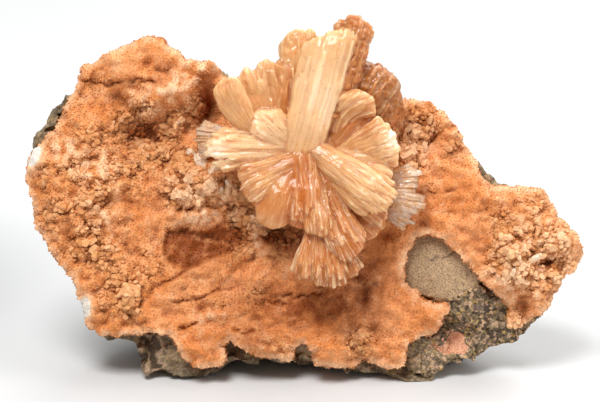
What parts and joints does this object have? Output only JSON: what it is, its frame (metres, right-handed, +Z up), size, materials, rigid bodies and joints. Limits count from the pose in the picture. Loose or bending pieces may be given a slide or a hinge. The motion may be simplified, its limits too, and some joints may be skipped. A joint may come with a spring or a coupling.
{
  "type": "stilbite cluster on basalt",
  "caption": "Fan-shaped spray of peach stilbite blades on an orange crystal crust over a broken chunk of grey basalt that stands upright.",
  "frame": {"origin": "on the floor under the middle of the specimen's box", "axes": "+X to the right along the specimen's length, +Y away from the viewer of its crystal face, +Z up. The crystal face looks towards -Y and leans back 18 degrees."},
  "size_m": [0.1086, 0.0496, 0.073],
  "materials": {
    "basalt": "rough, broken",
    "orange_druse": "granular, finely crystalline",
    "stilbite": "pearly, finely ribbed along the blades",
    "glassy_stilbite": "glassy, cloudy"
  },
  "bodies": {
    "root": {"basalt_matrix": "basalt", "druse_crust": "orange_druse", "stilbite_spray": "stilbite", "clear_sheaf_right": "glassy_stilbite", "clear_sheaf_left": "glassy_stilbite"}
  },
  "joints": []
}
